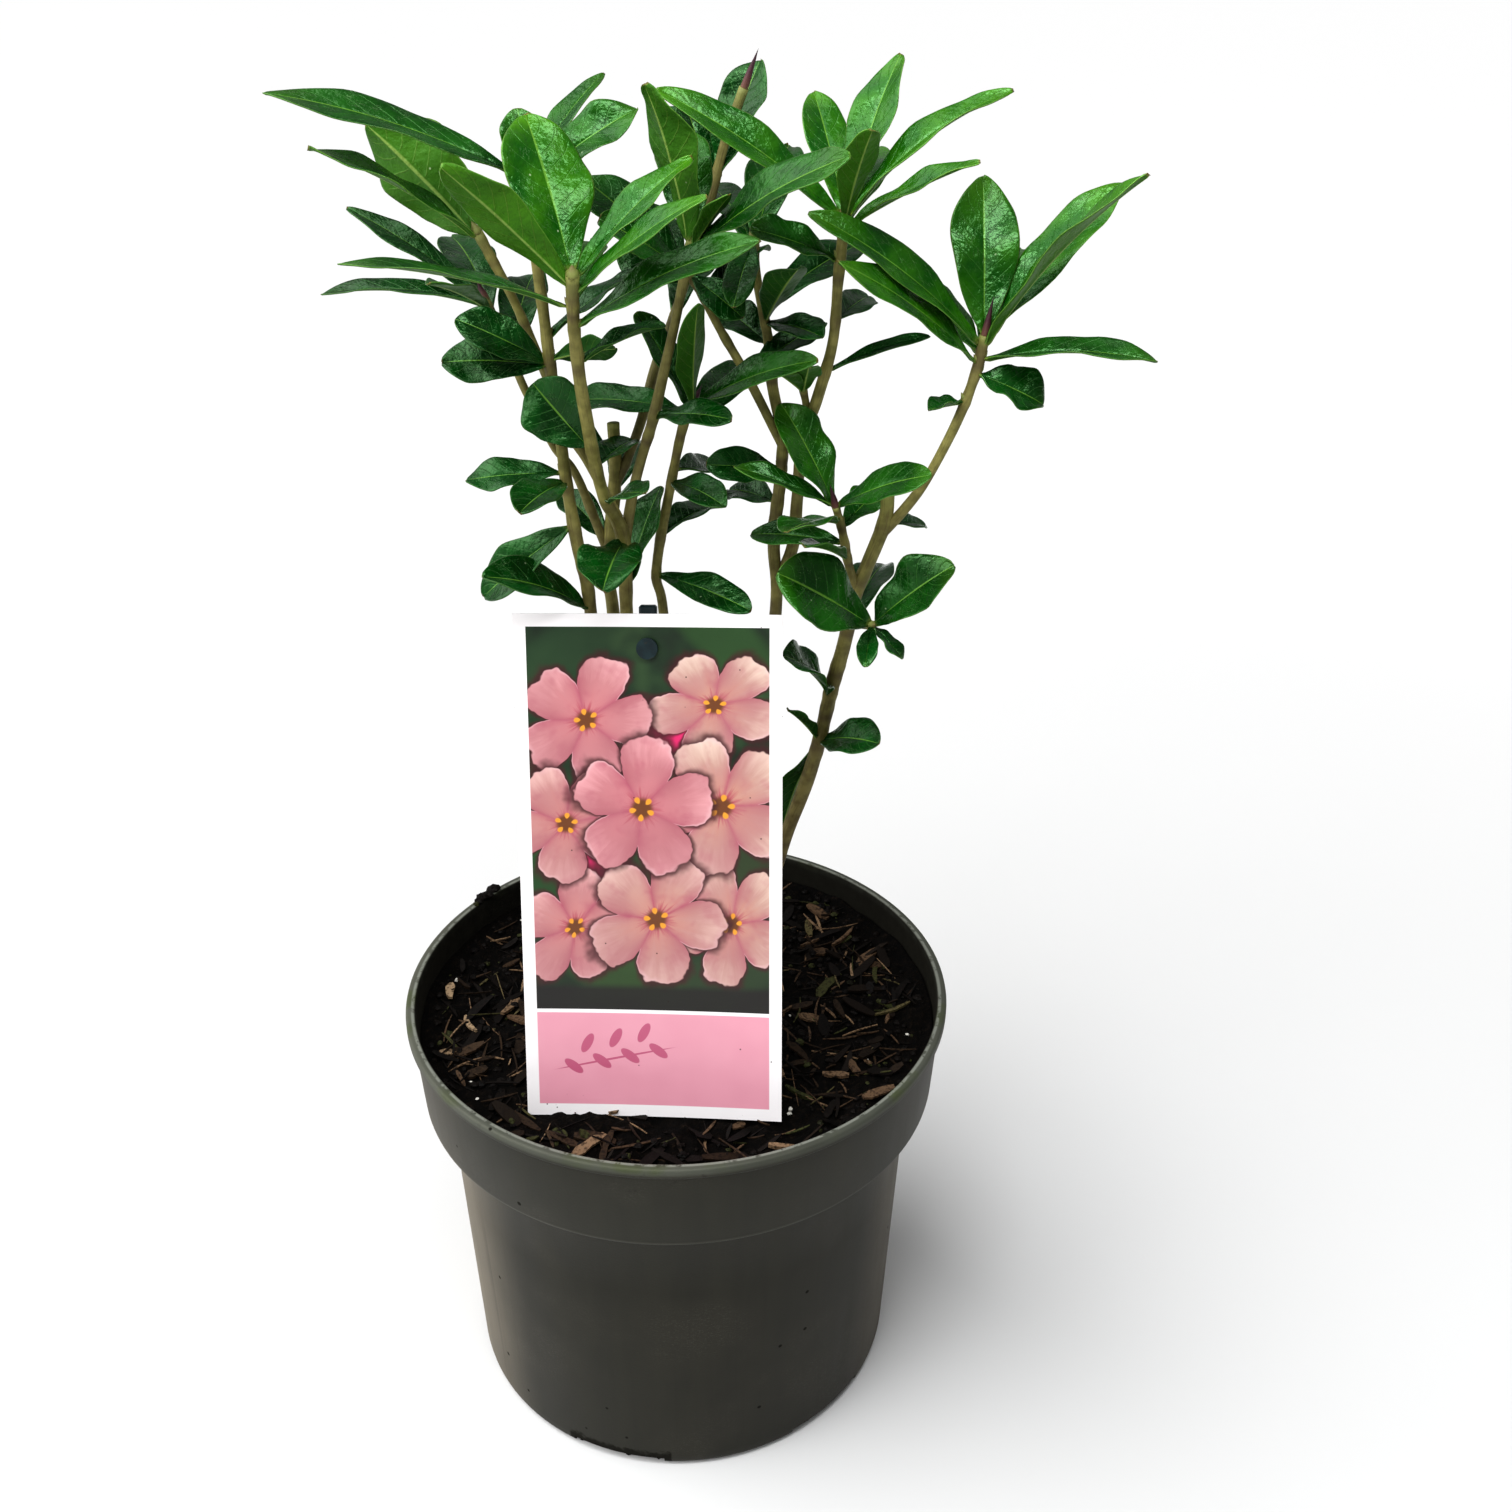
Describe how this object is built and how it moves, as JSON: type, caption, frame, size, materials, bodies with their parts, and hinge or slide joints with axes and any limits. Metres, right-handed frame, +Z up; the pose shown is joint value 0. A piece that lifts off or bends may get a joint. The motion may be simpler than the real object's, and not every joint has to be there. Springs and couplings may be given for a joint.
{
  "type": "potted daphne",
  "caption": "Young evergreen daphne with whorled leathery leaves on upright woody stems, in a round plastic nursery pot of compost with a printed plant label on a stake.",
  "frame": {"origin": "middle of the pot's underside, where it rests", "axes": "+Z up along the pot's axis, +X to the right when the label is seen from its printed side, +Y away from the printed side"},
  "size_m": [0.2401, 0.19, 0.4543],
  "materials": {
    "pot_plastic": "satin",
    "compost": "matte",
    "foliage": "satin",
    "label_print": "satin",
    "stake_plastic": "satin"
  },
  "bodies": {
    "root": {"pot": "pot_plastic", "soil": "compost", "stem_front": "foliage", "stem_left": "foliage", "stem_back_left": "foliage", "stem_middle": "foliage", "stem_back_right": "foliage", "stem_right": "foliage", "label_card": "label_print", "label_stake": "stake_plastic"}
  },
  "joints": []
}
